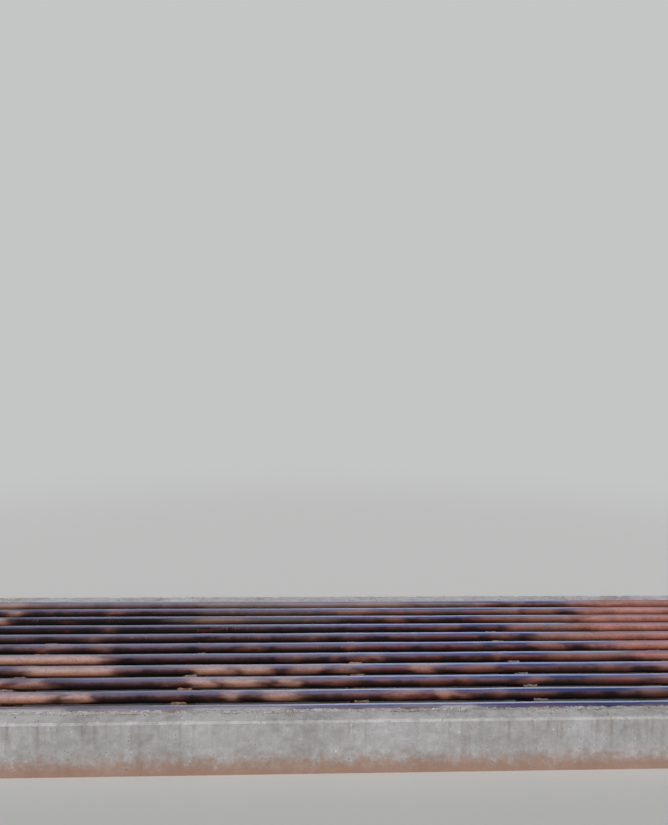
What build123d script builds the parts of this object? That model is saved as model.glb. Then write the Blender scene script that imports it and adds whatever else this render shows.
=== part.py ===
from build123d import *
from math import radians, sin
import os

# A cattle grid. Round steel pipes lie side by side, a hoof's width apart, over a
# shallow pit. They are welded down on rolled steel stringers, whose ends stand in
# pockets of two cast concrete sills, one along each long edge of the pit. Each
# sill has an upstand beside the outer pipe.
# Millimetres. X runs along the pipes, Y along the way across them, and +Z is up.
# The origin is under the middle of the grid, on the floor of the pit.

# Pipes: 2 7/8 inch tubing at 7 inch centres, with open ends
pipe_diameter = 73.0
pipe_wall = 5.5
pipe_count = 11
pipe_pitch = 177.8
pipe_overhang = 228.6  # from the middle of an end stringer to the pipe's end
pipe_end_bevel = 1.5

# Stringers: 6 inch rolled beams with 4 inch flanges, at 45 inch centres
stringer_count = 7
stringer_spacing = 1143.0
stringer_depth = 153.0
flange_width = 102.0
flange_thickness = 7.1
web_thickness = 5.8
root_radius = 8.0
stringer_end_margin = 6.0  # bare flange past the outer weld's toe

# Welds: a bead in each of the two crevices between a pipe and a flange
weld_root_angle = 14.0  # up the pipe's side, from the line where it rests
weld_top_angle = 44.0
weld_toe_reach = 4.5  # the toe on the flange, past the toe on the pipe
weld_crown = 1.0
weld_end_gap = 8.0  # bare flange past each end of a bead

# Sills: concrete, with a pocket for each stringer and an upstand on the outside
sill_overhang = 228.6  # from the middle of an end stringer to the sill's end
sill_arris = 12.0  # bevel along the top edges
shelf_reach = 139.0  # from the axis of the outer pipe, towards the pit
shelf_drop = 3.0  # the shelf, below the top of the stringers
upstand_thickness = 115.0
upstand_drop = 12.0  # the upstand's top, below the tops of the pipes
seat_height = 100.0  # from the pit floor to the foot of the stringers
pocket_side_clearance = 12.0
pocket_end_clearance = 14.0  # from a stringer's end to the upstand

pipe_radius = pipe_diameter / 2
stringer_top = seat_height + stringer_depth
pipe_axis_height = stringer_top + pipe_radius
outer_pipe_y = pipe_pitch * (pipe_count - 1) / 2
end_stringer_x = stringer_spacing * (stringer_count - 1) / 2
pipe_length = 2 * (end_stringer_x + pipe_overhang)
weld_toe_run = pipe_radius * sin(radians(weld_top_angle)) + weld_toe_reach
stringer_end_y = outer_pipe_y + weld_toe_run + stringer_end_margin
sill_length = 2 * (end_stringer_x + sill_overhang)
upstand_inner_y = stringer_end_y + pocket_end_clearance
sill_outer_y = upstand_inner_y + upstand_thickness
sill_inner_y = outer_pipe_y - shelf_reach
shelf_top = stringer_top - shelf_drop
upstand_top = stringer_top + pipe_diameter - upstand_drop

# Rows of places, front to back and left to right
pipe_rows = [pipe_pitch * i - outer_pipe_y for i in range(pipe_count)]
stringer_rows = [stringer_spacing * i - end_stringer_x for i in range(stringer_count)]


def pipe(y):
    """One open-ended pipe, resting on the stringers, with its axis at that Y."""
    ring = Circle(pipe_radius) - Circle(pipe_radius - pipe_wall)
    tube = extrude(Plane.YZ * ring, amount=pipe_length / 2, both=True)
    rims = [
        edge
        for edge in tube.edges().filter_by(GeomType.CIRCLE)
        if abs(edge.radius - pipe_radius) < pipe_wall / 2
    ]
    return Pos(0, y, pipe_axis_height) * chamfer(rims, pipe_end_bevel)


def stringer_section():
    """The rolled I-section, centred, with its root radii."""
    flange_offset = (stringer_depth - flange_thickness) / 2
    flange = Rectangle(flange_width, flange_thickness)
    section = Rectangle(web_thickness, stringer_depth)
    section += Pos(0, flange_offset) * flange
    section += Pos(0, -flange_offset) * flange
    roots = [
        corner
        for corner in section.vertices()
        if abs(corner.X) < flange_width / 4 and abs(corner.Y) < stringer_depth / 2
    ]
    return fillet(roots, root_radius)


def stringer(x):
    """One beam, standing in its two pockets, with its web at that X."""
    beam = extrude(Plane.XZ * stringer_section(), amount=stringer_end_y, both=True)
    return Pos(x, 0, seat_height + stringer_depth / 2) * beam


def weld_section():
    """Half of a joint in the YZ plane: the bead on the +Y side of a pipe.

    It fills the crevice between the pipe's round side and the flat flange. The
    origin is on the line where the pipe rests on the flange.
    """
    axis = Vector(0, pipe_radius)
    root_on_pipe = axis + Vector(0, -pipe_radius).rotate(Axis.Z, weld_root_angle)
    middle_on_pipe = axis + Vector(0, -pipe_radius).rotate(
        Axis.Z, (weld_root_angle + weld_top_angle) / 2
    )
    toe_on_pipe = axis + Vector(0, -pipe_radius).rotate(Axis.Z, weld_top_angle)
    root_on_flange = Vector(root_on_pipe.X, 0)
    toe_on_flange = Vector(weld_toe_run, 0)
    face_run = toe_on_pipe - toe_on_flange
    outward = Vector(face_run.Y, -face_run.X).normalized()
    crown = (toe_on_pipe + toe_on_flange) / 2 + outward * weld_crown
    return make_face(
        [
            Line(root_on_flange, toe_on_flange),
            ThreePointArc(toe_on_flange, crown, toe_on_pipe),
            ThreePointArc(toe_on_pipe, middle_on_pipe, root_on_pipe),
            Line(root_on_pipe, root_on_flange),
        ]
    )


def stringer_welds(x):
    """All the beads on one stringer: two at every pipe."""
    half_length = flange_width / 2 - weld_end_gap
    bead = extrude(Plane.YZ * weld_section(), amount=half_length, both=True)
    pair = [bead, mirror(bead, Plane.XZ)]
    return Compound(
        [Pos(x, y, stringer_top) * each for y in pipe_rows for each in pair]
    )


def sill_section():
    """The front sill across its length, in the YZ plane: shelf, upstand and bevels."""
    return make_face(
        Polyline(
            (-sill_outer_y, 0),
            (-sill_inner_y, 0),
            (-sill_inner_y, shelf_top - sill_arris),
            (-sill_inner_y - sill_arris, shelf_top),
            (-upstand_inner_y, shelf_top),
            (-upstand_inner_y, upstand_top - sill_arris),
            (-upstand_inner_y - sill_arris, upstand_top),
            (-sill_outer_y + sill_arris, upstand_top),
            (-sill_outer_y, upstand_top - sill_arris),
            close=True,
        )
    )


def front_sill():
    """The sill along the front edge, with a pocket round each stringer's end."""
    sill = extrude(Plane.YZ * sill_section(), amount=sill_length / 2, both=True)
    pocket = Box(
        flange_width + 2 * pocket_side_clearance,
        upstand_inner_y - sill_inner_y,
        shelf_top - seat_height,
        align=(Align.CENTER, Align.MAX, Align.MIN),
    )
    for x in stringer_rows:
        sill -= Pos(x, -sill_inner_y, seat_height) * pocket
    return sill


def write(name, shape):
    export_step(shape, f"parts/{name}.step")


os.makedirs("parts", exist_ok=True)
for number, y in enumerate(pipe_rows, start=1):
    write(f"pipe_{number:02d}", pipe(y))
for number, x in enumerate(stringer_rows, start=1):
    write(f"stringer_{number}", stringer(x))
    write(f"stringer_{number}_welds", stringer_welds(x))
write("front_sill", front_sill())
write("back_sill", mirror(front_sill(), Plane.XZ))
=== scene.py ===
import functools
import math

import bpy
import numpy as np
from mathutils import Matrix, Vector


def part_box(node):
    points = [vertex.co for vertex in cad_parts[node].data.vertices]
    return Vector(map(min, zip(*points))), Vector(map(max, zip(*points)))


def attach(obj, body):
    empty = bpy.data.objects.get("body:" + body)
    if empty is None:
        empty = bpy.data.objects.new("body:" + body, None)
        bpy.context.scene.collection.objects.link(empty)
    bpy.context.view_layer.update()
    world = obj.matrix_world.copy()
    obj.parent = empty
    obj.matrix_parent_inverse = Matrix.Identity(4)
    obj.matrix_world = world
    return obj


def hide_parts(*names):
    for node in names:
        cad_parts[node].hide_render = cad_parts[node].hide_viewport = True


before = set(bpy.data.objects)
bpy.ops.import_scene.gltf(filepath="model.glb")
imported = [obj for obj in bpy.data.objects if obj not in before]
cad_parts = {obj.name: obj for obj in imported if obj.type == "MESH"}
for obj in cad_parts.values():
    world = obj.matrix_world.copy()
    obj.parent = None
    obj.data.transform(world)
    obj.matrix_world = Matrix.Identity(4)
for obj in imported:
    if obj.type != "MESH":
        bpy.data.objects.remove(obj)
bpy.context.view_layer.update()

# A rusty cattle grid, in metres, in the frame of its solids: X runs along the pipes, Y along
# the way across them, and +Z is up. Colours are written from 0 to 255, as they should look.

PIPES = sorted(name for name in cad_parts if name.startswith("pipe_"))
WELDS = sorted(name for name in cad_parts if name.endswith("_welds"))
STRINGERS = [name.removesuffix("_welds") for name in WELDS]

pipe_low, pipe_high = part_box(PIPES[0])
PIPE_RADIUS = (pipe_high.z - pipe_low.z) / 2
PIPE_AXIS_Z = (pipe_high.z + pipe_low.z) / 2
FRONT_PIPE_Y = (pipe_high.y + pipe_low.y) / 2
PIPE_PITCH = -2 * FRONT_PIPE_Y / (len(PIPES) - 1)
HALF_LENGTH = pipe_high.x
PIPE_ROWS = [FRONT_PIPE_Y + PIPE_PITCH * i for i in range(len(PIPES))]

beam_low, beam_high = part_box(STRINGERS[0])
FLANGE_WIDTH = beam_high.x - beam_low.x
FLANGE_TOP = beam_high.z
SEAT_HEIGHT = beam_low.z
STRINGER_ROWS = [sum(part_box(name), Vector()).x / 2 for name in STRINGERS]
STRINGER_SPACING = STRINGER_ROWS[1] - STRINGER_ROWS[0]

sill_low, sill_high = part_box("front_sill")
SILL_OUTER_Y = -sill_low.y
SILL_INNER_Y = -sill_high.y
UPSTAND_TOP = sill_high.z

# Sizes that no box gives, as the solids have them
PIPE_WALL = 0.0055
UPSTAND_THICKNESS = 0.115
SHELF_DROP = 0.003
SILL_ARRIS = 0.012
POCKET_SIDE_CLEARANCE = 0.012
UPSTAND_INNER_Y = SILL_OUTER_Y - UPSTAND_THICKNESS
SHELF_TOP = FLANGE_TOP - SHELF_DROP


def add_object(name, data):
    made = bpy.data.objects.new(name, data)
    bpy.context.scene.collection.objects.link(made)
    return made


# Camera

FRAME_HEIGHT_PX = 825
FOCAL_LENGTH_PX = 617.0
SENSOR_MM = 36.0
EYE_X = -0.345
EYE_OVER_PIPES = 1.932
EYE_BEFORE_FRONT_PIPE = 3.652
EYE_YAW = math.radians(2.306)  # to the right
EYE_PITCH = math.radians(2.562)  # down
EYE_ROLL = math.radians(0.594)


def make_camera():
    """The camera, where the rows of pipe tops and the flanges between them put it."""
    eye = Vector((EYE_X, FRONT_PIPE_Y - EYE_BEFORE_FRONT_PIPE, pipe_high.z + EYE_OVER_PIPES))
    yaw = Matrix.Rotation(-EYE_YAW, 4, "Z")
    pitch = Matrix.Rotation(math.pi / 2 - EYE_PITCH, 4, "X")
    roll = Matrix.Rotation(EYE_ROLL, 4, "Z")
    camera = add_object("camera", bpy.data.cameras.new("camera"))
    camera.data.sensor_width = SENSOR_MM
    camera.data.lens = FOCAL_LENGTH_PX / FRAME_HEIGHT_PX * SENSOR_MM
    camera.matrix_world = Matrix.Translation(eye) @ yaw @ pitch @ roll
    bpy.context.scene.camera = camera


# Noise for shapes

def hashed(cells, seed):
    """A number from -1 to 1 for each whole-numbered cell."""
    mixed = cells[..., 0] * 73856093 ^ cells[..., 1] * 19349663 ^ cells[..., 2] * 83492791
    mixed = (mixed ^ (seed * 668265263)) & 0x7FFFFFFF
    mixed = (mixed ^ (mixed >> 13)) * 1274126177 & 0x7FFFFFFF
    return ((mixed ^ (mixed >> 16)) & 0xFFFF) / 32767.5 - 1


def smooth_noise(points, seed):
    """Noise from -1 to 1 at points of shape (..., 3), with one knot to a unit."""
    cells = np.floor(points).astype(np.int64)
    part = points - cells
    part = part * part * (3 - 2 * part)
    total = np.zeros(points.shape[:-1])
    for corner in np.ndindex(2, 2, 2):
        weight = np.where(corner, part, 1 - part).prod(axis=-1)
        total += weight * hashed(cells + corner, seed)
    return total


def rough_noise(points, seed, octaves=3):
    """Smooth noise with finer and weaker noise added to it."""
    return sum(smooth_noise(points * 2**i, seed + i) / 2**i for i in range(octaves))


def smoothstep(low, high, value):
    """0 below low, 1 above high and a soft rise between them."""
    part = np.clip((value - low) / (high - low), 0, 1)
    return part * part * (3 - 2 * part)


# Meshes

def grid_faces(rows, columns, close_rows=False, close_columns=False):
    """Quads over rows of points, facing along the row direction crossed with the column's."""
    shape = (rows if close_rows else rows - 1, columns if close_columns else columns - 1)
    row, column = np.indices(shape)
    after, beside = (row + 1) % rows, (column + 1) % columns
    corners = ((row, column), (after, column), (after, beside), (row, beside))
    return np.stack([r * columns + c for r, c in corners], axis=-1).reshape(-1, 4)


def swept(x, outline):
    """The points of a bar along X, from its outline in Y and Z."""
    return np.stack(np.broadcast_arrays(x[:, None], outline[..., 0], outline[..., 1]), axis=-1)


def bar_faces(rings, corners, inside_out):
    """Faces of a closed bar, which is a row of like outlines with a cap at each end."""
    last = (rings - 1) * corners
    faces = grid_faces(rings, corners, close_columns=True).tolist()
    faces += [list(range(corners))[::-1], list(range(last, last + corners))]
    return [face[::-1] for face in faces] if inside_out else faces


def make_mesh(name, vertices, faces, sharp_angle=40.0):
    """A smooth-shaded mesh whose edges past the sharp angle, in degrees, stay sharp."""
    mesh = bpy.data.meshes.new(name)
    points = np.asarray(vertices).reshape(-1, 3).tolist()
    mesh.from_pydata(points, [], [list(face) for face in faces])
    mesh.shade_smooth()
    mesh.set_sharp_from_angle(angle=math.radians(sharp_angle))
    return mesh


def add_piece(name, mesh, material, replaced=()):
    """A piece of the grid, fixed to its one body."""
    piece = add_object(name, mesh)
    mesh.materials.append(material)
    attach(piece, "root")
    if replaced:
        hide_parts(*replaced)
    return piece


def paint(mesh, name, values):
    """Stores one number a vertex, for the material to read."""
    layer = mesh.attributes.new(name, "FLOAT", "POINT")
    layer.data.foreach_set("value", np.asarray(values, np.float32).ravel())


class Gathered:
    """Many small closed shapes gathered into one mesh."""

    def __init__(self):
        self.vertices = []
        self.faces = []
        self.count = 0

    def add(self, vertices, faces):
        vertices = np.asarray(vertices).reshape(-1, 3)
        self.vertices.append(vertices)
        self.faces.extend((np.asarray(face) + self.count).tolist() for face in faces)
        self.count += len(vertices)

    def mesh(self, name, sharp_angle=40.0):
        return make_mesh(name, np.concatenate(self.vertices), self.faces, sharp_angle)


# Materials

def colour(red, green, blue):
    """A colour written from 0 to 255, as linear red, green, blue and alpha."""
    parts = (np.array((red, green, blue)) / 255).tolist()
    linear = [c / 12.92 if c <= 0.04045 else ((c + 0.055) / 1.055) ** 2.4 for c in parts]
    return (*linear, 1.0)


class Nodes:
    """The nodes of a material or of the world."""

    def __init__(self, owner):
        owner.use_nodes = True
        self.tree = owner.node_tree
        self.tree.nodes.clear()

    def node(self, kind, **inputs):
        """A new node, with its inputs set; _ stands for the space in an input's name."""
        made = self.tree.nodes.new(kind)
        for name, value in inputs.items():
            self.feed(made.inputs[name.replace("_", " ")], value)
        return made

    def feed(self, socket, value):
        if isinstance(value, bpy.types.NodeSocket):
            self.tree.links.new(value, socket)
        else:
            socket.default_value = value

    def math(self, operation, *values):
        made = self.tree.nodes.new("ShaderNodeMath")
        made.operation = operation
        for socket, value in zip(made.inputs, values):
            self.feed(socket, value)
        return made.outputs[0]

    def times(self, *values):
        return functools.reduce(lambda a, b: self.math("MULTIPLY", a, b), values)

    def plus(self, *values):
        return functools.reduce(lambda a, b: self.math("ADD", a, b), values)

    def minus(self, value, less):
        return self.math("SUBTRACT", value, less)

    def larger(self, *values):
        return functools.reduce(lambda a, b: self.math("MAXIMUM", a, b), values)

    def blend(self, *parts):
        """The sum of several values, each of them followed by its weight."""
        return self.plus(*(self.times(*pair) for pair in zip(parts[::2], parts[1::2])))

    def wobble(self, noise, reach):
        """Half of reach either way, as the noise goes."""
        return self.times(self.minus(noise, 0.5), reach)

    def from_nearest(self, value, spacing):
        """How far value is from the nearest of a row of places at that spacing."""
        nearest = self.math("ROUND", self.math("DIVIDE", value, spacing))
        return self.math("ABSOLUTE", self.minus(value, self.times(nearest, spacing)))

    def step(self, value, low, high, to_low=0.0, to_high=1.0):
        """A soft rise from to_low, where value is low, to to_high, where it is high."""
        ends = {"From_Min": low, "From_Max": high, "To_Min": to_low, "To_Max": to_high}
        made = self.node("ShaderNodeMapRange", Value=value, **ends)
        made.interpolation_type = "SMOOTHSTEP"
        return made.outputs[0]

    def seen_rays(self):
        """1 for what the eye sees, straight on or by reflection or through glass, else 0."""
        rays = self.node("ShaderNodeLightPath").outputs
        kinds = ("Is Camera Ray", "Is Glossy Ray", "Is Transmission Ray")
        return self.larger(*(rays[kind] for kind in kinds))

    def mix_shaders(self, factor, low, high):
        made = self.tree.nodes.new("ShaderNodeMixShader")
        for socket, value in zip(made.inputs, (factor, low.outputs[0], high.outputs[0])):
            self.feed(socket, value)
        return made.outputs[0]


class Finish(Nodes):
    """A material being built."""

    def __init__(self, name):
        self.material = bpy.data.materials.new(name)
        super().__init__(self.material)
        self.surface = self.node("ShaderNodeBsdfPrincipled")
        self.output = self.node("ShaderNodeOutputMaterial", Surface=self.surface.outputs["BSDF"])
        self.place = self.node("ShaderNodeTexCoord").outputs["Object"]
        split = self.node("ShaderNodeSeparateXYZ", Vector=self.place)
        self.x, self.y, self.z = split.outputs

    def noise(self, scale, detail=3.0, roughness=0.55):
        """Noise round 0.5; scale is one number, or one for each axis."""
        place = self.place
        if isinstance(scale, tuple):
            place = self.node("ShaderNodeMapping", Vector=place, Scale=scale).outputs[0]
            scale = 1.0
        made = self.node(
            "ShaderNodeTexNoise", Vector=place, Scale=scale, Detail=detail, Roughness=roughness
        )
        return made.outputs[0]

    def cells(self, scale, output="Distance"):
        """The distance from the middle of the nearest of many random cells, or its colour."""
        return self.node("ShaderNodeTexVoronoi", Vector=self.place, Scale=scale).outputs[output]

    def cell_shade(self, scale):
        """A random number from 0 to 1 for each cell."""
        return self.node("ShaderNodeSeparateColor", Color=self.cells(scale, "Color")).outputs[0]

    def upward(self, low, high):
        """A soft rise from 0 to 1 as the surface turns to face up."""
        normal = self.node("ShaderNodeNewGeometry").outputs["Normal"]
        return self.step(self.node("ShaderNodeSeparateXYZ", Vector=normal).outputs["Z"], low, high)

    def attribute(self, name):
        made = self.node("ShaderNodeAttribute")
        made.attribute_name = name
        return made.outputs["Fac"]

    def ramp(self, value, *stops):
        """A colour for value; a stop is its place from 0 to 1, then its red, green and blue."""
        made = self.node("ShaderNodeValToRGB", Fac=value)
        elements = made.color_ramp.elements
        while len(elements) < len(stops):
            elements.new(1.0)
        for element, (place, *shade) in zip(elements, stops):
            element.position = place
            element.color = colour(*shade)
        return made.outputs["Color"]

    def mix(self, factor, low, high, blend="MIX"):
        made = self.tree.nodes.new("ShaderNodeMix")
        made.data_type = "RGBA"
        made.blend_type = blend
        self.feed(made.inputs[0], factor)
        self.feed(made.inputs[6], low)
        self.feed(made.inputs[7], high)
        return made.outputs[2]

    def tinted(self, base, shade):
        return self.mix(1.0, base, shade, "MULTIPLY")

    def coat(self, base, where, strength, *shade):
        """The base with one colour laid over it."""
        return self.mix(self.times(where, strength), base, colour(*shade))

    def end(self, base, roughness, height, relief, metallic=0.0):
        """The finished material; relief is how far its bumps stand out."""
        bump = self.node("ShaderNodeBump", Height=height, Distance=relief)
        self.feed(self.surface.inputs["Base Color"], base)
        self.feed(self.surface.inputs["Roughness"], roughness)
        self.feed(self.surface.inputs["Normal"], bump.outputs["Normal"])
        self.feed(self.surface.inputs["Metallic"], metallic)
        return self.material


class PipeFinish(Finish):
    """The pipes' finish, with what its layers share: turns from the crown in degrees, noises, a
    dappled painted shade and how far each covering lies on the surface, painted sunlight and shade
    among them."""

    def __init__(self):
        super().__init__("pipe_rust")
        from_axis_z = self.minus(self.z, PIPE_AXIS_Z)
        turn = self.math("ARCTAN2", self.from_nearest(self.y, PIPE_PITCH), from_axis_z)
        self.turn = self.math("DEGREES", turn)
        self.patches = self.noise((3.2, 11.0, 11.0), 4.0, 0.6)
        self.blotches = self.noise((19.0, 34.0, 34.0), 4.0, 0.62)
        self.flecks = self.noise((80.0, 95.0, 95.0), 4.0, 0.68)
        self.grain = self.noise((300.0, 330.0, 330.0), 4.0, 0.7)
        # Painted dappled shade: random darker stretches along the pipes
        dappled_shade = self.noise((5.5, 3.0, 3.0), 3.0, 0.5)
        self.shade = self.ramp(dappled_shade, (0.38, 138, 132, 138), (0.54, 255, 255, 255))
        self.wavy_turn = self.plus(self.turn, self.wobble(self.blotches, 26.0))
        mottle = self.blend(self.blotches, 0.6, self.flecks, 0.4)
        self.mottled = self.step(mottle, 0.36, 0.54, 0.86, 1.0)

        # Painted sunlight, drawn as pale dust, thinner on the crown
        below_crown = self.step(self.wavy_turn, -8.0, 30.0, 0.4, 1.0)
        self.sunlit_dust = self.times(self.attribute("sunlit_dust"), self.mottled, below_crown)
        below_chalk = self.step(self.wavy_turn, 4.0, 38.0, 0.1, 1.0)
        self.chalky = self.times(self.attribute("chalky"), below_chalk)
        # Red rust towards the right end, painted brighter as sunlight
        sunlit_reddening = self.plus(self.attribute("red"), self.times(self.patches, 0.8))
        self.red = self.times(self.step(sunlit_reddening, 0.55, 1.35), self.mottled)


def brown_rust(f):
    """Browns, red in streaks, darkened by dappled painted shade and in places by near-black painted
    shade, with pale drip marks and scorched joints.
    """
    base = f.ramp(
        f.blend(f.patches, 0.5, f.blotches, 0.28, f.flecks, 0.22),
        (0.34, 44, 35, 45), (0.43, 68, 54, 66), (0.51, 94, 76, 86),
        (0.59, 116, 93, 100), (0.70, 142, 114, 112),
    )
    streaks = f.noise((2.7, 7.0, 7.0), 3.0, 0.55)
    flushed = f.times(f.attribute("flushed"), f.step(streaks, 0.40, 0.56))
    base = f.coat(base, flushed, 0.6, 128, 76, 74)
    # The dappled painted shade
    base = f.tinted(base, f.shade)
    # Near-black painted shade
    base = f.mix(f.attribute("painted_shade"), base, colour(26, 21, 28))
    drips = f.noise((64.0, 5.0, 5.0), 2.0, 0.5)
    drip_marks = f.times(f.step(drips, 0.60, 0.74), f.step(f.patches, 0.5, 0.62))
    base = f.coat(base, drip_marks, 0.35, 150, 132, 126)
    near_beam = f.step(f.from_nearest(f.x, STRINGER_SPACING), 0.12, 0.03)
    near_joint = f.times(near_beam, f.step(f.turn, 58.0, 88.0))
    scorched = f.times(near_joint, f.step(f.patches, 0.44, 0.62), f.mottled)
    return f.coat(base, scorched, 0.6, 150, 96, 70)


def sunlit_dust_colour(f):
    """The colour of the sunlit stretches, painted sunlight drawn as pale dust: rustier to the
    right, with a painted mauve sky tint towards the crown, and orange where it thins out.
    """
    tone = f.blend(f.blotches, 0.35, f.flecks, 0.35, f.grain, 0.3)
    pale = f.ramp(tone, (0.36, 150, 117, 110), (0.50, 172, 141, 134), (0.64, 190, 162, 152))
    rusty = f.ramp(tone, (0.36, 124, 90, 84), (0.50, 150, 114, 107), (0.64, 170, 135, 124))
    dust = f.mix(f.step(f.x, -0.9, 0.5), pale, rusty)
    # Painted mauve sky tint towards the crown
    dust = f.mix(f.step(f.wavy_turn, 64.0, 22.0, 0.0, 0.55), dust, colour(160, 151, 166))
    return f.mix(f.step(f.sunlit_dust, 0.6, 0.15, 0.0, 0.6), dust, colour(146, 94, 72))


def sunlit_red_rust(f):
    """The red rust at the right end, painted brighter as the sunlight that falls there."""
    rust = f.ramp(
        f.blend(f.patches, 0.35, f.blotches, 0.35, f.flecks, 0.3),
        (0.34, 128, 82, 74), (0.45, 147, 101, 93), (0.54, 160, 115, 106), (0.66, 176, 131, 121),
    )
    # Part of the dappled painted shade
    return f.mix(0.3, rust, f.tinted(rust, f.shade))


def painted_underside_shade(f):
    """Painted shade that darkens a pipe towards its underside, warmed with painted light thrown up
    from the ground; less so where it has sunlit dust, red or chalk.
    """
    down_turn = f.math("DIVIDE", f.wavy_turn, 120.0)
    dark = f.ramp(
        down_turn,
        (0.38, 255, 255, 255), (0.475, 238, 218, 204), (0.56, 200, 170, 152), (0.64, 152, 116, 104),
        (0.725, 108, 76, 67), (0.82, 62, 40, 34), (0.90, 36, 22, 18),
    )
    pale = f.ramp(
        down_turn,
        (0.42, 255, 255, 255), (0.55, 248, 238, 226), (0.69, 222, 198, 180),
        (0.84, 194, 164, 146), (0.98, 130, 102, 88),
    )
    return f.mix(f.larger(f.sunlit_dust, f.red, f.chalky), dark, pale)


def worn_metal_and_sky_reflection(f):
    """The worn crowns and shoulders, coloured with painted sky reflection: dull to the left and
    blue to the right, and brightest, with a painted highlight, along the two front crowns, which
    are worn more narrowly."""
    near_front = f.step(f.y, FRONT_PIPE_Y + 2.7 * PIPE_PITCH, FRONT_PIPE_Y + 0.6 * PIPE_PITCH)
    wear_turn = f.plus(f.turn, f.wobble(f.blotches, 12.0), f.times(near_front, 8.0))
    part = f.math("DIVIDE", wear_turn, 90.0)
    # Painted sky reflection, dull to the left and blue to the right
    dull = f.ramp(
        part,
        (0.0, 152, 158, 186), (0.13, 144, 150, 178), (0.25, 126, 129, 160),
        (0.38, 118, 117, 148), (0.56, 98, 93, 114),
    )
    blue = f.ramp(
        part,
        (0.0, 170, 184, 222), (0.13, 158, 173, 214), (0.24, 92, 106, 156),
        (0.36, 50, 60, 108), (0.52, 56, 59, 96),
    )
    wear = f.mix(f.step(f.x, -1.3, 0.9), dull, blue)
    # Painted highlight along the two front crowns
    painted_highlight = f.times(near_front, f.step(f.turn, 15.0, 4.0), f.step(f.x, -0.9, -0.3))
    wear = f.coat(wear, painted_highlight, 0.7, 204, 213, 240)
    # Painted mauve sky tint on the shoulders
    painted_sky_tint = f.times(f.step(f.x, 1.5, 0.3), f.step(f.turn, 18.0, 36.0))
    wear = f.coat(wear, painted_sky_tint, 0.6, 124, 110, 138)
    # Pale dust on the worn crowns, lavender with painted sky tint
    powdery = f.larger(f.attribute("sunlit_dust"), f.times(f.attribute("chalky"), 0.45))
    wear = f.coat(wear, powdery, 0.7, 186, 180, 194)
    # On the red end, a painted violet sky reflection
    return f.mix(f.attribute("red"), wear, colour(178, 150, 168))


def worn_part(f):
    """How worn a pipe is, from its crown down to a line that the sunlit dust, the painted shade and
    chalk raise.
    """
    sunlit_dust, painted_shade, chalky = map(f.attribute, ("sunlit_dust", "painted_shade", "chalky"))
    raised = f.blend(f.wavy_turn, 1.0, sunlit_dust, 30.0, painted_shade, 16.0, chalky, 28.0)
    near_crown = f.times(f.step(raised, 62.0, 36.0), f.attribute("worn"))
    return f.times(near_crown, f.step(f.flecks, 0.3, 0.46, 0.55, 1.0))


def pipe_finish():
    """Rust of many browns, with a tyre-worn crown, bluish shoulders of painted sky reflection and
    painted shade on the underside.
    """
    f = PipeFinish()
    base = f.mix(f.times(f.sunlit_dust, 0.95), brown_rust(f), sunlit_dust_colour(f))
    base = f.mix(f.chalky, base, f.mix(f.flecks, colour(132, 128, 138), colour(178, 171, 174)))
    base = f.mix(f.red, base, sunlit_red_rust(f))
    base = f.tinted(base, painted_underside_shade(f))
    shoulder = worn_part(f)
    base = f.mix(f.times(shoulder, 0.94), base, worn_metal_and_sky_reflection(f))
    specks = f.times(f.step(f.cells(240.0), 0.17, 0.08), f.step(f.turn, 100.0, 60.0))
    specks = f.times(specks, f.step(f.blotches, 0.5, 0.62))
    base = f.coat(base, specks, 0.5, 186, 174, 160)

    bright = f.times(f.step(f.wavy_turn, 30.0, 12.0), shoulder)
    metallic = f.blend(bright, 0.15, shoulder, 0.25)
    roughness = f.minus(0.88, f.blend(bright, 0.14, shoulder, 0.14))
    scratches = f.noise((900.0, 30.0, 30.0), 2.0, 0.5)
    smoothed = f.larger(f.times(bright, 0.75), f.times(f.sunlit_dust, 0.6))
    pits = f.times(f.blend(f.grain, 0.6, f.flecks, 0.4), f.minus(1.0, smoothed))
    height = f.plus(pits, f.times(scratches, bright, 0.12))
    f.surface.inputs["Specular IOR Level"].default_value = 0.15
    return f.end(base, roughness, height, 0.0008, metallic)


def beam_finish():
    """Flaking brown rust, with dust and soil on what faces up."""
    f = Finish("beam_rust")
    blotches = f.noise(22.0, 4.0, 0.65)
    grain = f.noise(190.0, 5.0, 0.7)
    flakes = f.cells(70.0)
    base = f.ramp(
        f.blend(blotches, 0.5, grain, 0.3, flakes, 0.2),
        (0.28, 38, 24, 24), (0.42, 78, 46, 38), (0.54, 116, 66, 48), (0.66, 150, 92, 66),
    )
    dust = f.times(f.upward(0.3, 0.8), f.step(f.plus(blotches, f.times(grain, 0.4)), 0.5, 0.8))
    base = f.coat(base, dust, 0.85, 150, 124, 104)
    height = f.blend(grain, 0.5, f.step(flakes, 0.15, 0.5), 0.5)
    return f.end(base, 0.88, height, 0.0022)


def weld_finish():
    """Dark rust over the ripples of a weld."""
    f = Finish("weld_rust")
    blotches = f.noise(60.0, 3.0, 0.6)
    grain = f.noise(420.0, 4.0, 0.7)
    base = f.ramp(
        f.blend(blotches, 0.55, grain, 0.45),
        (0.34, 40, 26, 26), (0.48, 84, 48, 40), (0.62, 132, 78, 58),
    )
    return f.end(base, 0.8, grain, 0.0008)


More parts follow.
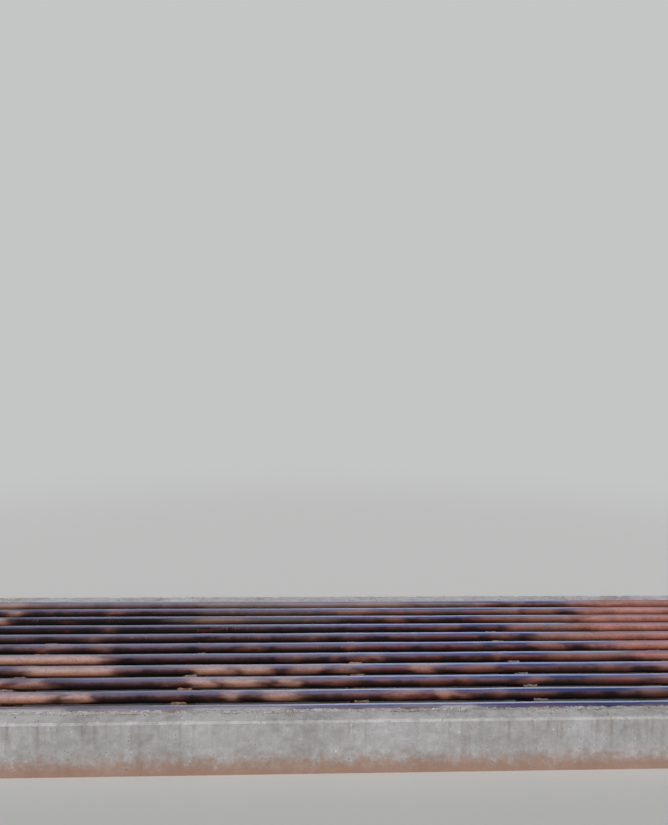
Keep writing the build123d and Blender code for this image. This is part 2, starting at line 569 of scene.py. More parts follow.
def dirt_finish():
    """Dry soil, grey or ochre by turns, with pale grit in it."""
    f = Finish("dry_dirt")
    clods = f.noise(45.0, 4.0, 0.6)
    grain = f.noise(500.0, 4.0, 0.7)
    grit = f.cells(330.0, "Color")
    base = f.ramp(
        f.blend(clods, 0.5, grain, 0.5),
        (0.34, 132, 114, 102), (0.50, 182, 165, 152), (0.66, 214, 202, 190),
    )
    ochre = f.plus(f.noise((1.3, 8.0, 0.0), 1.0, 0.5), f.step(f.x, 0.9, -0.9, 0.0, 0.2))
    stain = f.mix(f.step(ochre, 0.5, 0.68), colour(228, 230, 238), colour(255, 220, 188))
    base = f.tinted(base, stain)
    base = f.mix(0.45, base, f.mix(1.0, base, grit, "SOFT_LIGHT"))
    pebbles = f.step(f.cells(330.0), 0.1, 0.5)
    return f.end(base, 0.95, f.plus(f.times(pebbles, -0.5), grain), 0.0016)


def grit_finish():
    """Fine grey grit with dust between its grains, and darker clouds, more of them towards the
    right.
    """
    f = Finish("packed_grit")
    clods = f.noise(30.0, 4.0, 0.6)
    grain = f.noise(600.0, 3.0, 0.7)
    from_chip = f.cells(210.0)
    chips = f.ramp(
        f.cell_shade(210.0),
        (0.0, 108, 105, 107), (0.3, 176, 174, 176), (0.7, 210, 208, 211), (1.0, 238, 237, 238),
    )
    dust = f.ramp(clods, (0.35, 158, 154, 153), (0.65, 206, 202, 200))
    base = f.mix(f.step(from_chip, 0.62, 0.38), dust, chips)
    clouds = f.plus(f.noise(6.0, 5.0, 0.7), f.step(f.x, -0.3, 1.2, 0.0, 0.09))
    base = f.coat(base, f.step(clouds, 0.52, 0.66), 0.4, 104, 101, 97)
    height = f.plus(f.step(from_chip, 0.6, 0.1), f.times(grain, 0.4))
    return f.end(base, 0.95, height, 0.0016)


def gravel_finish():
    """Limestone chips of many pale shades."""
    f = Finish("gravel_stone")
    grain = f.noise(350.0, 4.0, 0.65)
    base = f.ramp(
        f.blend(f.cell_shade(55.0), 0.7, grain, 0.3),
        (0.15, 128, 108, 92), (0.45, 168, 158, 144), (0.75, 200, 192, 178), (0.95, 218, 208, 190),
    )
    return f.end(base, 0.9, grain, 0.0006)


def concrete_finish():
    """Weathered concrete: board marks, small stones where it is worn, soil and rust stains, and
    dark soil on the shelves that is also painted shade.
    """
    f = Finish("weathered_concrete")
    clouds = f.noise(3.5, 4.0, 0.6)
    blotches = f.noise(18.0, 4.0, 0.65)
    grain = f.noise(260.0, 5.0, 0.7)
    upward = f.upward(0.5, 0.9)
    base = f.ramp(
        f.blend(clouds, 0.4, blotches, 0.35, grain, 0.25),
        (0.34, 118, 115, 113), (0.48, 144, 142, 141), (0.60, 162, 161, 161), (0.70, 178, 177, 176),
    )
    stones = f.ramp(
        f.cell_shade(75.0),
        (0.0, 92, 86, 84), (0.4, 148, 142, 138), (0.7, 178, 173, 168), (1.0, 212, 207, 200),
    )
    bare = f.step(f.plus(blotches, f.times(upward, 0.22)), 0.55, 0.72)
    showing = f.times(f.step(f.cells(75.0), 0.5, 0.3), bare)
    base = f.mix(f.times(showing, 0.8), base, stones)

    soil_line = f.plus(f.z, f.wobble(blotches, 0.16))
    soil = f.times(f.step(soil_line, 0.15, 0.02), f.minus(1.0, upward))
    base = f.coat(base, soil, 0.75, 136, 98, 74)
    runs = f.noise((26.0, 26.0, 1.6), 3.0, 0.6)
    damp = f.times(f.step(runs, 0.52, 0.72), f.step(f.z, 0.05, 0.28))
    base = f.coat(base, damp, 0.4, 104, 88, 74)
    near_pipe = f.step(f.math("ABSOLUTE", f.y), UPSTAND_INNER_Y + 0.055, UPSTAND_INNER_Y)
    rust = f.times(near_pipe, f.step(f.plus(blotches, f.times(runs, 0.4)), 0.55, 0.85))
    base = f.coat(base, rust, 0.6, 138, 84, 58)

    drifts = f.step(f.blend(clouds, 0.6, blotches, 0.4), 0.36, 0.6, 0.3, 0.9)
    dust = f.mix(grain, colour(176, 173, 173), colour(214, 211, 211))
    base = f.mix(f.times(upward, drifts), base, dust)
    # Dark soil on the shelves under the pipes, also painted shade
    on_shelf = f.times(upward, f.step(f.z, UPSTAND_TOP - 0.02, SHELF_TOP + 0.02))
    shelf_soil_and_shade = f.mix(grain, colour(60, 53, 48), colour(104, 95, 88))
    base = f.mix(f.times(on_shelf, 0.85), base, shelf_soil_and_shade)

    holes = f.times(f.step(f.cells(38.0), 0.16, 0.07), f.step(blotches, 0.45, 0.6))
    base = f.coat(base, holes, 0.6, 84, 74, 64)
    boards = f.noise((5.0, 5.0, 110.0), 3.0, 0.6)
    height = f.blend(grain, 0.35, boards, 0.25, showing, 0.5, holes, -1.6)
    return f.end(base, 0.92, height, 0.0022)


make_camera()


# Pipes

PIPE_SIDES = 44
OUTER_RINGS = 330
BORE_RINGS = 24
END_BEVEL = 0.0015

# Where tyres keep each crown worn bright, with its painted sky reflection, from and to, for the
# pipes from front to back
BRIGHT_FROM = (-1.65, -1.75, -2.0, -1.8, -1.85, -2.5, -2.6, -2.7, -2.8, -2.6, -2.5)
BRIGHT_TO = (2.75, 2.7, 2.65, 2.5, 2.1, 2.0, 1.8, 1.85, 1.95, 2.25, 2.3)

# Where red rust, painted brighter as sunlight, begins towards the right end
SUNLIT_RED_FROM = (2.75, 2.5, 2.2, 2.2, 2.15, 1.85, 1.9, 1.95, 1.95, 2.15, 2.15)

# How much near-black painted shade darkens each pipe's side towards the left
PAINTED_SHADE_AMOUNTS = (0.0, 0.1, 0.1, 0.1, 0.2, 0.2, 0.45, 0.75, 0.95, 0.4, 0.0)

# Stretches of each pipe with painted sunlight, drawn as pale dust: from, to and how thick
SUNLIT_DUST = {
    1: ((-2.15, -1.71, 0.4), (-1.62, -1.39, 0.3), (0.19, 0.37, 0.35)),
    2: ((-2.65, -1.93, 1), (-1.86, -1.72, 0.9), (-0.9, -0.76, 0.7), (-0.6, -0.36, 0.85),
        (-0.22, 0.09, 0.1), (0.19, 0.33, 0.6), (0.44, 0.62, 0.9), (0.81, 0.92, 0.35),
        (1.77, 1.98, 0.4)),
    3: ((-2.7, -2.24, 0.6), (-2.17, -1.99, 0.6), (-1.16, -0.95, 0.9), (-0.92, -0.61, 0.9),
        (-0.54, -0.37, 0.8), (-0.16, -0.02, 0.35), (0.43, 0.54, 0.25), (0.64, 0.74, 0.3),
        (1.13, 1.25, 0.35), (1.55, 1.9, 0.22)),
    4: ((-2.28, -1.62, 1), (-1.17, -0.84, 0.9), (-0.8, -0.58, 0.85), (-0.46, -0.26, 0.6),
        (-0.12, 0.05, 0.6), (0.37, 0.57, 0.9), (0.74, 0.93, 0.4), (1.35, 1.62, 0.2),
        (1.7, 1.89, 0.35)),
    5: ((-2.9, -1.77, 1), (-0.44, -0.37, 0.3), (-0.12, -0.03, 0.35), (0.06, 0.17, 0.55),
        (0.96, 1.06, 0.5), (1.45, 2.0, 0.5)),
    6: ((-2.24, -2.12, 0.4), (-1.97, -1.78, 0.35), (-0.81, -0.72, 0.35), (-0.03, 0.06, 0.4),
        (0.9, 1.01, 0.3), (1.33, 1.57, 0.5)),
    7: ((-1.97, -1.88, 0.35), (-0.33, -0.2, 0.35), (0.48, 0.55, 0.3), (1.15, 1.26, 0.3),
        (1.4, 1.7, 0.6), (1.66, 2.05, 0.9)),
    8: ((-1.99, -1.89, 0.35), (0.72, 0.82, 0.35), (1.33, 1.6, 0.6), (1.52, 2.01, 0.65)),
    9: ((-3.16, -2.8, 0.8), (-1.22, -0.86, 0.4), (-0.38, -0.3, 0.35), (0.27, 0.44, 0.4),
        (1.14, 1.5, 0.4), (1.45, 1.96, 0.55)),
    10: ((-2.9, -2.76, 0.6), (-2.07, -1.96, 0.35), (-0.12, 0.24, 0.45), (1.3, 1.5, 0.5),
        (1.58, 1.87, 0.5)),
    11: ((-3.36, -2.76, 0.6), (0.01, 0.48, 0.4), (1.46, 1.57, 0.4), (2.2, 3.2, 0.4)),
}

# Chalky stretches of some pipes, given in the same way
CHALKY = {
    1: ((-2.8, -1.75, 1), (-1.75, -1.1, 0.5), (-1.1, -0.4, 0.9), (-0.4, 0.4, 0.12),
        (0.4, 0.72, 0.9), (1.7, 2.2, 0.2)),
    9: ((-1.5, -0.1, 0.22),),
    10: ((-1.3, 1.4, 0.2),),
    11: ((-3.5, -1.3, 0.3), (-1.3, 0.6, 0.5), (0.6, 1.3, 0.38), (1.3, 2.0, 0.1)),
}

# Stretches where red shows through the brown
FLUSHED = {
    2: ((0.0, 0.85, 1),),
    3: ((-0.1, 0.75, 1), (1.65, 2.4, 1)),
    4: ((0.0, 1.1, 1), (1.75, 2.6, 1)),
}
FLUSHED_ELSEWHERE = ((0.1, 1.9, 1),)

STRETCH_EDGES = (0.06, 0.15)  # how soft the ends of a short and of a long stretch are

DEEPEST_SAG = 0.0022  # half way between two stringers
UNEVENNESS = 0.0003
SCALE_THICKNESS = 0.00014
END_ROUGHNESS = 0.0012
END_SETBACK = 0.0002
DENTS_PER_PIPE = 9
DENTS_REACH = 2.4  # either way along a pipe
DENT_LENGTHS = (0.02, 0.07)
DENT_DEPTHS = (0.0003, 0.0013)
DENT_TURN = 0.9  # the furthest that a dent's middle is from the crown, in radians
DENT_WIDTH = 0.55  # in radians


def between(x, start, stop, edge):
    """1 from start to stop, with soft edges."""
    return smoothstep(start - edge, start + edge, x) * (1 - smoothstep(stop - edge, stop + edge, x))


def stretched(x, stretches):
    """How thick a covering is at x, from its stretches."""
    cover = np.zeros_like(x)
    for start, stop, thick in stretches:
        edge = np.clip(0.32 * (stop - start), *STRETCH_EDGES)
        cover = np.maximum(cover, thick * between(x, start, stop, edge))
    return cover


def pipe_sag(x, rng):
    """How far the pipe's middle lies down and aside, between the stringers that hold it."""
    down, aside = np.zeros_like(x), np.zeros_like(x)
    for left, right in zip(STRINGER_ROWS, STRINGER_ROWS[1:]):
        part = np.clip((x - left) / (right - left), 0, 1)
        wave = np.sin(np.pi * part) ** 2
        down += wave * rng.uniform(0.1, 1.0) * DEEPEST_SAG
        aside += wave * rng.uniform(-0.5, 0.5) * DEEPEST_SAG
    return down, aside


def pipe_dents(x, angle, rng):
    """Shallow dents, on the crown and shoulders."""
    depth = np.zeros_like(x)
    from_crown = (angle + np.pi) % (2 * np.pi) - np.pi
    for _ in range(DENTS_PER_PIPE):
        where = rng.uniform(-DENTS_REACH, DENTS_REACH)
        turned = rng.uniform(-DENT_TURN, DENT_TURN)
        along = (x - where) / rng.uniform(*DENT_LENGTHS)
        deep = rng.uniform(*DENT_DEPTHS)
        around = (from_crown - turned) / DENT_WIDTH
        depth += deep * np.exp(-(along**2) - around**2)
    return depth


def make_pipe(number, name, material):
    """One pipe with its bore: sagged, dented and scaled a little, its ends cut by hand."""
    seed = 100 * number
    rng = np.random.default_rng(seed)
    outer = np.linspace(-HALF_LENGTH, HALF_LENGTH, OUTER_RINGS)
    bevels = [END_BEVEL - HALF_LENGTH, HALF_LENGTH - END_BEVEL]
    outer = np.insert(outer, [1, OUTER_RINGS - 1], bevels)
    bore = np.linspace(HALF_LENGTH, -HALF_LENGTH, BORE_RINGS)
    stations = np.concatenate((outer, bore))
    angles = np.linspace(0, 2 * np.pi, PIPE_SIDES, endpoint=False)
    x, angle = np.meshgrid(stations, angles, indexing="ij")
    is_outer = (np.arange(len(stations)) < len(outer))[:, None]

    skin = np.stack((x, PIPE_RADIUS * np.sin(angle), PIPE_RADIUS * np.cos(angle)), axis=-1)
    uneven = UNEVENNESS * rough_noise(skin * (8, 30, 30), seed)
    scaly = SCALE_THICKNESS * rough_noise(skin * (55, 110, 110), seed + 10)
    radius = PIPE_RADIUS + uneven + scaly - pipe_dents(x, angle, rng)
    radius = np.where(is_outer, radius, PIPE_RADIUS - PIPE_WALL)
    radius[0] -= END_BEVEL
    radius[len(outer) - 1] -= END_BEVEL

    down, aside = pipe_sag(x, rng)
    round_end = np.stack((x, 3 * np.sin(angle), 3 * np.cos(angle)), -1)
    ragged = END_ROUGHNESS * rough_noise(round_end, seed + 20)
    at_end = np.abs(np.abs(x) - HALF_LENGTH) < 2 * END_BEVEL
    vertices = np.stack(
        (
            x - np.where(at_end, np.sign(x) * (np.abs(ragged) + END_SETBACK), 0),
            PIPE_ROWS[number - 1] + aside + radius * np.sin(angle),
            PIPE_AXIS_Z - down + radius * np.cos(angle),
        ),
        axis=-1,
    )
    faces = grid_faces(len(stations), PIPE_SIDES, close_rows=True, close_columns=True)
    mesh = make_mesh(f"rusty_{name}", vertices, faces)

    wander = 0.25 * rough_noise(skin * (1.5, 9, 9), seed + 30)
    worn = between(x + wander, BRIGHT_FROM[number - 1], BRIGHT_TO[number - 1], 0.25)
    worn *= 0.72 + 0.28 * smoothstep(-1.4, 0.6, x)
    worn = np.maximum(worn, 0.45 * (1 - smoothstep(-1.6, -1.0, x + wander)))
    worn = np.maximum(worn, 0.5 * between(x + wander, BRIGHT_TO[number - 1], 2.9, 0.3))
    # Red rust, painted brighter as sunlight
    red = smoothstep(-0.4, 0.4, x + wander - SUNLIT_RED_FROM[number - 1])
    red *= 1 - 0.5 * smoothstep(3.0, 3.5, x + wander)
    drifted = x + 0.09 * rough_noise(skin * (7, 24, 24), seed + 40)
    sunlit_dust = stretched(drifted, SUNLIT_DUST[number])
    chalky = stretched(drifted, CHALKY.get(number, ()))
    flushed = stretched(drifted, FLUSHED.get(number, FLUSHED_ELSEWHERE))
    # Painted shade, strongest towards the left end
    painted_shade = PAINTED_SHADE_AMOUNTS[number - 1] * (1 - 0.7 * smoothstep(-1.3, 0.6, x + wander))
    for covering, amount, in_bore in (
        ("worn", worn, 0),
        ("red", red, 0.5),
        ("sunlit_dust", sunlit_dust, 0),
        ("chalky", chalky, 0),
        ("flushed", flushed, 0),
        ("painted_shade", painted_shade, 0.6),
    ):
        paint(mesh, covering, np.where(is_outer, amount, in_bore))
    add_piece(f"rusty_{name}", mesh, material, [name])


pipe_rust = pipe_finish()
for number, name in enumerate(PIPES, start=1):
    make_pipe(number, name, pipe_rust)


# Welds

BEAD_HALF_LENGTH = 0.043
BEAD_ROOT_ANGLE = math.radians(14)
BEAD_TOP_ANGLE = math.radians(44)
BEAD_TOE_REACH = 0.0045
BEAD_CROWN = 0.001
BEAD_RINGS = 46
RIPPLE_PITCH = 0.0052
RIPPLE_HEIGHT = 0.0007
BEAD_SWELL = 0.0011
BEAD_SHORTFALL = 0.003  # the most that a bead ends short


def bead_section():
    """Corners of a bead across its length, from its toe on the flange round to its root.

    The first number is the distance from the line where the pipe rests, the second the height.
    """
    def on_pipe(angle):
        return np.array((PIPE_RADIUS * math.sin(angle), PIPE_RADIUS * (1 - math.cos(angle))))

    top, root = on_pipe(BEAD_TOP_ANGLE), on_pipe(BEAD_ROOT_ANGLE)
    toe = np.array((top[0] + BEAD_TOE_REACH, 0.0))
    outward = np.array((toe[1] - top[1], toe[0] - top[0]))
    outward = np.abs(outward) / np.linalg.norm(outward)
    face = [
        toe + (top - toe) * part + outward * BEAD_CROWN * 4 * part * (1 - part)
        for part in (0.0, 0.25, 0.5, 0.75, 1.0)
    ]
    middle = on_pipe((BEAD_TOP_ANGLE + BEAD_ROOT_ANGLE) / 2)
    return np.array([*face, middle, root, (root[0], 0.0)]), outward


def make_bead(gathered, x_middle, y_pipe, side, rng):
    """One bead, with its ripples, on the +Y or -Y side of a pipe."""
    section, outward = bead_section()
    along = np.linspace(-1, 1, BEAD_RINGS)
    x = along * (BEAD_HALF_LENGTH - rng.uniform(0, BEAD_SHORTFALL))
    bulge = np.array((0.3, 0.8, 1.0, 0.8, 0.3, 0, 0, 0))
    lag = np.array((0, 0.7, 1.0, 0.7, 0, 0, 0, 0)) * 0.5
    phase = x[:, None] / RIPPLE_PITCH + lag + rng.uniform(0, 1)
    ripple = RIPPLE_HEIGHT * (np.abs(np.sin(np.pi * phase)) - 0.4) * bulge
    crossing = np.full((BEAD_RINGS, 2), (y_pipe * 40 + side, x_middle))
    swell = BEAD_SWELL * smooth_noise(np.column_stack((x * 55, crossing)), 7)
    offset = ripple + swell[:, None] * bulge
    taper = np.sqrt(np.clip(1 - np.abs(along) ** 9, 0.02, 1))[:, None, None]
    centre = section.mean(axis=0)
    points = centre + (section + offset[..., None] * outward - centre) * taper
    vertices = swept(x_middle + x, points * (side, 1) + (y_pipe, FLANGE_TOP))
    gathered.add(vertices, bar_faces(BEAD_RINGS, len(section), side > 0))


def make_welds(index, name, material):
    """All the beads of one stringer."""
    rng = np.random.default_rng(4000 + index)
    beads = Gathered()
    for y in PIPE_ROWS:
        for side in (-1, 1):
            make_bead(beads, STRINGER_ROWS[index], y, side, rng)
    mesh = beads.mesh(f"rippled_{name}", sharp_angle=55)
    add_piece(f"rippled_{name}", mesh, material, [name])


weld_rust = weld_finish()
for index, name in enumerate(WELDS):
    make_welds(index, name, weld_rust)


# Stringers

beam_rust = beam_finish()
for name in STRINGERS:
    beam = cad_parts[name]
    beam.data.materials.clear()
    beam.data.materials.append(beam_rust)


# Sills

SILL_RING_SPACING = 0.014
SILL_POINT_SPACING = 0.020
CHIP_DEPTH = 0.006
CHIP_REACH = (0.002, 0.022)  # from an edge, where chips start to thin out and where they end
SILL_ROUGHNESS = 0.0008
SILL_SETBACK = 0.0012
POCKET_OVERSHOOT = 0.02  # how far a pocket's cutter stands out of the concrete

# The sill across its length: distance from the grid's middle line, and height
SILL_CORNERS = [
    (SILL_OUTER_Y, 0.0),
    (SILL_OUTER_Y, UPSTAND_TOP - SILL_ARRIS),
    (SILL_OUTER_Y - SILL_ARRIS, UPSTAND_TOP),
    (UPSTAND_INNER_Y + SILL_ARRIS, UPSTAND_TOP),
    (UPSTAND_INNER_Y, UPSTAND_TOP - SILL_ARRIS),
    (UPSTAND_INNER_Y, SHELF_TOP),
    (SILL_INNER_Y + SILL_ARRIS, SHELF_TOP),
    (SILL_INNER_Y, SHELF_TOP - SILL_ARRIS),
    (SILL_INNER_Y, 0.0),
]
CHIPPED_CORNERS = (1, 2, 3, 4, 6, 7)


def spaced(corners, spacing):
    """Points along a closed outline, at its corners and evenly between them."""
    points = []
    for start, stop in zip(corners, corners[1:] + corners[:1]):
        start, stop = np.array(start), np.array(stop)
        steps = max(1, round(np.linalg.norm(stop - start) / spacing))
        points.extend(start + (stop - start) * i / steps for i in range(steps))
    return np.array(points)


def make_sill(name, side, material):
    """A sill with chipped edges; side is -1 at the front and 1 at the back."""
    seed = 900 + side
    outline = spaced(SILL_CORNERS, SILL_POINT_SPACING)
    along = np.roll(outline, -1, axis=0) - np.roll(outline, 1, axis=0)
    outward = np.stack((along[:, 1], -along[:, 0]), -1)
    outward /= np.linalg.norm(outward, axis=1)[:, None]
    edges = np.array([SILL_CORNERS[i] for i in CHIPPED_CORNERS])
    to_edge = np.linalg.norm(outline[:, None] - edges[None], axis=2).min(axis=1)
    near_edge = 1 - smoothstep(*CHIP_REACH, to_edge)
    standing = smoothstep(0.0, 0.03, outline[:, 1])

    rings = round(2 * HALF_LENGTH / SILL_RING_SPACING) + 1
    x = np.linspace(-HALF_LENGTH, HALF_LENGTH, rings)
    points = swept(x, outline)
    chipped = smoothstep(0.35, 0.95, rough_noise(points * (17, 22, 22), seed))
    rough = SILL_ROUGHNESS * rough_noise(points * 24, seed + 5)
    inward = chipped * near_edge * CHIP_DEPTH + (rough + SILL_SETBACK) * standing
    points[..., 1:] -= inward[..., None] * outward
    points[..., 1] *= side

    faces = bar_faces(rings, len(outline), side > 0)
    mesh = make_mesh(f"cast_{name}", points, faces, sharp_angle=35)
    sill = add_piece(f"cast_{name}", mesh, material, [name])
    cut_pockets(sill, side)


def cut_pockets(sill, side):
    """Cuts the pocket round each stringer's end."""
    pockets = Gathered()
    half_width = FLANGE_WIDTH / 2 + POCKET_SIDE_CLEARANCE
    y_range = sorted((side * (SILL_INNER_Y - POCKET_OVERSHOOT), side * UPSTAND_INNER_Y))
    z_range = (SEAT_HEIGHT, SHELF_TOP + POCKET_OVERSHOOT)
    box_faces = ((0, 2, 3, 1), (4, 5, 7, 6), (0, 1, 5, 4), (2, 6, 7, 3), (0, 4, 6, 2), (1, 3, 7, 5))
    for x in STRINGER_ROWS:
        x_range = (x - half_width, x + half_width)
        corners = [(each, y, z) for z in z_range for y in y_range for each in x_range]
        pockets.add(corners, box_faces)
    cutter = add_object("pockets", pockets.mesh("pockets"))
    cut = sill.modifiers.new("pockets", "BOOLEAN")
    cut.object = cutter
    cut.solver = "EXACT"
    shown = sill.evaluated_get(bpy.context.evaluated_depsgraph_get())
    finished = bpy.data.meshes.new_from_object(shown)
    sill.modifiers.clear()
    sill.data = finished
    bpy.data.objects.remove(cutter)


concrete = concrete_finish()
make_sill("front_sill", -1, concrete)
make_sill("back_sill", 1, concrete)


# Dirt and gravel

HEAP_COLUMNS = 30
HEAP_ROWS = 30
HEAP_REACH = 0.064  # either way from the middle between two pipes
HEAP_EDGE = 0.006  # how far in from the flange's sides the dirt slopes up
SUNK = 0.0003  # how far the dirt's rim lies below the flange's face
STONES_PER_HEAP = (9, 17)
STONE_SIZES = (0.0025, 0.0075)
STONES_REACH = (0.8 * FLANGE_WIDTH / 2, 0.045)  # either way from the middle of a heap

# How deep the dirt lies on the stringers from left to right, in each gap from the front
HEAP_DEPTHS_MM = (
    (10, 14, 15, 14, 15, 13, 9),
    (13, 16, 17, 4, 18, 12, 11),
    (9, 12, 18, 16, 15, 15, 8),
    (14, 10, 5, 17, 18, 10, 13),
    (11, 13, 12, 10, 10, 12, 10),
    (8, 16, 10, 14, 17, 13, 12),
    (12, 9, 14, 12, 16, 10, 9),
    (10, 12, 8, 15, 12, 14, 11),
    (13, 10, 13, 9, 13, 11, 10),
    (12, 15, 11, 13, 12, 12, 13),
)


def ball():
    """Points and faces of a ball of radius 1 with eighty faces."""
    golden = (1 + 5**0.5) / 2
    points = [(-1, golden, 0), (1, golden, 0), (-1, -golden, 0), (1, -golden, 0)]
    points += [(z, x, y) for x, y, z in points] + [(y, z, x) for x, y, z in points]
    points = np.array(points) / math.hypot(1, golden)
    edge = 2 / math.hypot(1, golden)
    close = np.abs(np.linalg.norm(points[:, None] - points[None], axis=2) - edge) < 1e-6
    faces = [
        (i, j, k)
        for i in range(12)
        for j in range(i + 1, 12)
        for k in range(j + 1, 12)
        if close[i, j] and close[j, k] and close[i, k]
    ]
    points, middles, finer = list(points), {}, []

    def middle(a, b):
        key = (min(a, b), max(a, b))
        if key not in middles:
            point = points[a] + points[b]
            points.append(point / np.linalg.norm(point))
            middles[key] = len(points) - 1
        return middles[key]

    for a, b, c in faces:
        ab, bc, ca = middle(a, b), middle(b, c), middle(c, a)
        finer += [(a, ab, ca), (b, bc, ab), (c, ca, bc), (ab, bc, ca)]
    points = np.array(points)

    def faces_out(face):
        a, b, c = points[list(face)]
        return np.dot(np.cross(b - a, c - a), a) > 0

    return points, [face if faces_out(face) else face[::-1] for face in finer]


BALL_POINTS, BALL_FACES = ball()


def add_stone(gathered, place, size, rng):
    """An angular chip of stone, about a third of it sunk below its place."""
    shape = BALL_POINTS * rng.uniform(0.55, 1.1, 3) * (1, 1, 0.8)
    shape = shape * (1 + 0.22 * rng.standard_normal((len(BALL_POINTS), 1)) * 0.6)
    turn = np.array(Matrix.Rotation(rng.uniform(0, 2 * math.pi), 3, "Z"))
    tilt = np.array(Matrix.Rotation(rng.uniform(-0.5, 0.5), 3, "X"))
    gathered.add(shape @ tilt @ turn * size + (*place[:2], place[2] + 0.25 * size), BALL_FACES)


def heap_height(x, y, depth, seed):
    """The depth of the dirt at x and y, measured from the middle of its patch of flange."""
    points = np.stack((x, y, np.zeros_like(x)), -1)
    ragged = 0.3 * HEAP_EDGE * rough_noise(points * 60, seed)
    slope = smoothstep(0.0, HEAP_EDGE, FLANGE_WIDTH / 2 - np.abs(x) - 0.0005 + ragged)
    lumps = 0.85 + 0.22 * rough_noise(points * 38, seed + 3)
    lumps += 0.14 * smooth_noise(points * 240, seed + 6)
    banked = 1 + 0.35 * smoothstep(0.02, 0.06, np.abs(y))
    return depth * slope * lumps * banked


def add_heap(dirt, stones, x_middle, y_middle, depth, seed):
    """Dirt lying on one patch of flange between two pipes, and the stones on it."""
    rng = np.random.default_rng(seed)
    xs = np.linspace(-FLANGE_WIDTH / 2, FLANGE_WIDTH / 2, HEAP_COLUMNS)
    ys = np.linspace(-HEAP_REACH, HEAP_REACH, HEAP_ROWS)
    x, y = np.meshgrid(xs, ys, indexing="ij")
    height = heap_height(x, y, depth, seed)
    border = (np.abs(x) > xs[-2]) | (np.abs(y) > ys[-2])
    height = np.where(border, -SUNK, np.maximum(height, -SUNK))
    top = np.stack((x_middle + x, y_middle + y, FLANGE_TOP + height), -1)
    add_slab(dirt, top, FLANGE_TOP - 2 * SUNK)
    for _ in range(rng.integers(*STONES_PER_HEAP)):
        at = rng.uniform(np.negative(STONES_REACH), STONES_REACH)
        lift = heap_height(at[:1], at[1:], depth, seed)[0]
        place = (x_middle + at[0], y_middle + at[1], FLANGE_TOP + lift)
        add_stone(stones, place, rng.uniform(*STONE_SIZES), rng)


def add_slab(gathered, top, low):
    """A closed shape from a grid of points down to the height low."""
    rows, columns = top.shape[:2]
    index = np.arange(rows * columns).reshape(rows, columns)
    rim = [*index[0], *index[1:, -1], *index[-1, -2::-1], *index[-2:0:-1, 0]]
    points = top.reshape(-1, 3)
    below = points[rim] * (1, 1, 0) + (0, 0, low)
    foot = [len(points) + i for i in range(len(rim))]
    faces = grid_faces(rows, columns).tolist()
    for i, here in enumerate(rim):
        after = (i + 1) % len(rim)
        faces.append([here, rim[after], foot[after], foot[i]])
    faces.append(foot)
    gathered.add(np.concatenate((points, below)), faces)


def make_heaps(index, dirt_material, stone_material):
    """The dirt and stones on one stringer."""
    dirt, stones = Gathered(), Gathered()
    for gap, depths in enumerate(HEAP_DEPTHS_MM):
        y_middle = PIPE_ROWS[gap] + PIPE_PITCH / 2
        seed = 5000 + 100 * gap + index
        add_heap(dirt, stones, STRINGER_ROWS[index], y_middle, depths[index] / 1000, seed)
    for kind, gathered, sharp_angle, material in (
        ("dirt", dirt, 60, dirt_material),
        ("gravel", stones, 50, stone_material),
    ):
        name = f"stringer_{index + 1}_{kind}"
        add_piece(name, gathered.mesh(name, sharp_angle), material)


dirt_material = dirt_finish()
gravel_material = gravel_finish()
for index in range(len(STRINGERS)):
    make_heaps(index, dirt_material, gravel_material)


# Grit along the upstands

GRIT_RINGS = 1100
GRIT_CROSSINGS = 12
GRIT_SINK = 0.0006
GRIT_EDGE_Y = UPSTAND_INNER_Y + 0.8 * SILL_ARRIS  # where the grit meets the upstand's bevel
GRIT_EDGE_Z = UPSTAND_TOP - 0.0035
GRIT_HALF_LENGTH = HALF_LENGTH - 0.004
GRIT_LUMPS = 0.0032
GRIT_GRAINS = 0.0012
GRIT_HOLLOWS = 0.003
SPILLED_STONES = 520
SPILLED_SIZES = (0.0022, 0.0062)


def grit_section():
    """The slot between an outer pipe and the upstand, from the pipe over the top and round.

    Each corner has its distance from the middle line, its height and how far its height varies.
    """
    def on_pipe(degrees):
        radius, turn = PIPE_RADIUS - GRIT_SINK, math.radians(degrees)
        return (radius * math.sin(turn) - FRONT_PIPE_Y, radius * math.cos(turn) + PIPE_AXIS_Z, 0.0)

    contact = on_pipe(50)
    far = (GRIT_EDGE_Y, GRIT_EDGE_Z, 0.6)
    across = [
        tuple(a + (b - a) * i / GRIT_CROSSINGS for a, b in zip((*contact[:2], 0.8), far))
        for i in range(GRIT_CROSSINGS + 1)
    ]
    face_y = UPSTAND_INNER_Y + GRIT_SINK
    down = [(face_y, UPSTAND_TOP - SILL_ARRIS, 0.0), (face_y, SHELF_TOP - GRIT_SINK, 0.0)]
    up = [(on_pipe(145)[0], SHELF_TOP - GRIT_SINK, 0.0), *map(on_pipe, (145, 120, 95, 70))]
    return np.array([*across, *down, *up])


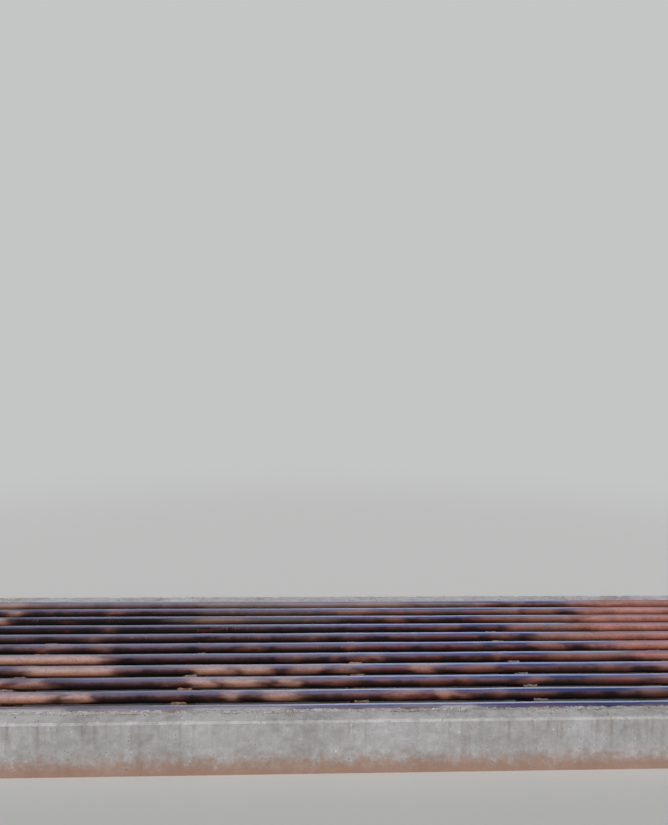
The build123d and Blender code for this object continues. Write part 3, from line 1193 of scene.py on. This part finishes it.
def make_grit(name, side, dirt_material, stone_material):
    """Grit packed between an outer pipe and its upstand, with stones on it and on the upstand."""
    seed = 7000 + side
    rng = np.random.default_rng(seed)
    section = grit_section()
    x = np.linspace(-GRIT_HALF_LENGTH, GRIT_HALF_LENGTH, GRIT_RINGS)
    points = swept(x, section[:, :2] * (side, 1))
    lumps = GRIT_LUMPS * rough_noise(points * (34, 60, 0), seed)
    lumps += GRIT_GRAINS * smooth_noise(points * 210, seed + 5)
    hollow = GRIT_HOLLOWS * smoothstep(0.2, 0.8, rough_noise(points * (2.2, 0, 0), seed + 7, 2))
    points[..., 2] += (lumps - hollow) * section[:, 2]
    faces = bar_faces(GRIT_RINGS, len(section), side > 0)
    mesh = make_mesh(f"{name}_grit", points, faces, sharp_angle=60)
    add_piece(f"{name}_grit", mesh, dirt_material)

    stones = Gathered()
    inner, outer = section[1, 0], SILL_OUTER_Y - SILL_ARRIS
    for _ in range(SPILLED_STONES):
        size = rng.uniform(*SPILLED_SIZES)
        at_x = rng.uniform(-GRIT_HALF_LENGTH + 0.01, GRIT_HALF_LENGTH - 0.01)
        at_y = inner + (outer - inner) * rng.uniform() ** 2.2
        height = UPSTAND_TOP - 0.001
        if at_y < GRIT_EDGE_Y:
            ring = round((at_x / GRIT_HALF_LENGTH + 1) / 2 * (GRIT_RINGS - 1))
            across = (at_y - inner) / (GRIT_EDGE_Y - inner)
            height = points[ring, round(across * (GRIT_CROSSINGS - 1)) + 1, 2]
        add_stone(stones, (at_x, side * at_y, height), size, rng)
    mesh = stones.mesh(f"{name}_gravel", 50)
    add_piece(f"{name}_gravel", mesh, stone_material)


grit_material = grit_finish()
make_grit("front", -1, grit_material, gravel_material)
make_grit("back", 1, grit_material, gravel_material)


# Floor, light and background

FLOOR_COLOUR = colour(224, 224, 222)
UNSEEN_FLOOR_COLOUR = colour(130, 130, 128)  # for the light that the floor throws back
BACKGROUND_COLOUR = colour(196, 197, 197)
SKY_COLOUR = (0.93, 0.96, 1.0, 1.0)
FLOOR_HALF_WIDTH = 60.0
FLOOR_FADES = (5.5, 13.0)  # where the floor starts and ends its fade into the background

# How strong the light is from the horizon to well up the sky
WORLD_STRENGTH = {"From_Min": 0.0, "From_Max": 0.85, "To_Min": 0.60, "To_Max": 0.01}


def make_world():
    """Pale behind the grid, and lit mostly from near the horizon."""
    world = bpy.data.worlds.new("studio")
    bpy.context.scene.world = world
    w = Nodes(world)
    shown = w.node("ShaderNodeBackground", Color=BACKGROUND_COLOUR)
    place = w.node("ShaderNodeTexCoord").outputs["Generated"]
    height = w.node("ShaderNodeSeparateXYZ", Vector=place).outputs["Z"]
    strength = w.node("ShaderNodeMapRange", Value=height, **WORLD_STRENGTH).outputs[0]
    lit = w.node("ShaderNodeBackground", Color=SKY_COLOUR, Strength=strength)
    w.node("ShaderNodeOutputWorld", Surface=w.mix_shaders(w.seen_rays(), lit, shown))


def make_floor():
    """A pale floor that fades into the background, and throws back little light from below."""
    half = FLOOR_HALF_WIDTH
    corners = [(-half, -half, 0), (half, -half, 0), (half, half, 0), (-half, half, 0)]
    mesh = bpy.data.meshes.new("floor")
    mesh.from_pydata(corners, [], [(0, 1, 2, 3)])
    floor = add_object("floor", mesh)
    f = Finish("floor")
    base = f.mix(f.seen_rays(), UNSEEN_FLOOR_COLOUR, FLOOR_COLOUR)
    f.feed(f.surface.inputs["Base Color"], base)
    f.feed(f.surface.inputs["Roughness"], 0.95)
    f.feed(f.surface.inputs["Specular IOR Level"], 0.0)
    background = f.node("ShaderNodeEmission", Color=BACKGROUND_COLOUR)
    away = f.math("SQRT", f.plus(f.times(f.x, f.x), f.times(f.y, f.y)))
    fade = f.times(f.step(away, *FLOOR_FADES), f.seen_rays())
    f.feed(f.output.inputs["Surface"], f.mix_shaders(fade, f.surface, background))
    mesh.materials.append(f.material)


def make_light(name, azimuth, elevation, strength, softness):
    """A soft light from far away; azimuth 0 is from the front and 90 from the right, in degrees."""
    data = bpy.data.lights.new(name, "SUN")
    data.energy = strength
    data.angle = math.radians(softness)
    lamp = add_object(name, data)
    lamp.rotation_euler = (math.radians(90 - elevation), 0, math.radians(azimuth))


make_world()
make_floor()
make_light("key", azimuth=25.0, elevation=22.0, strength=3.5, softness=12.0)
make_light("back", azimuth=190.0, elevation=22.0, strength=1.0, softness=18.0)
bpy.context.scene.view_settings.view_transform = "Standard"
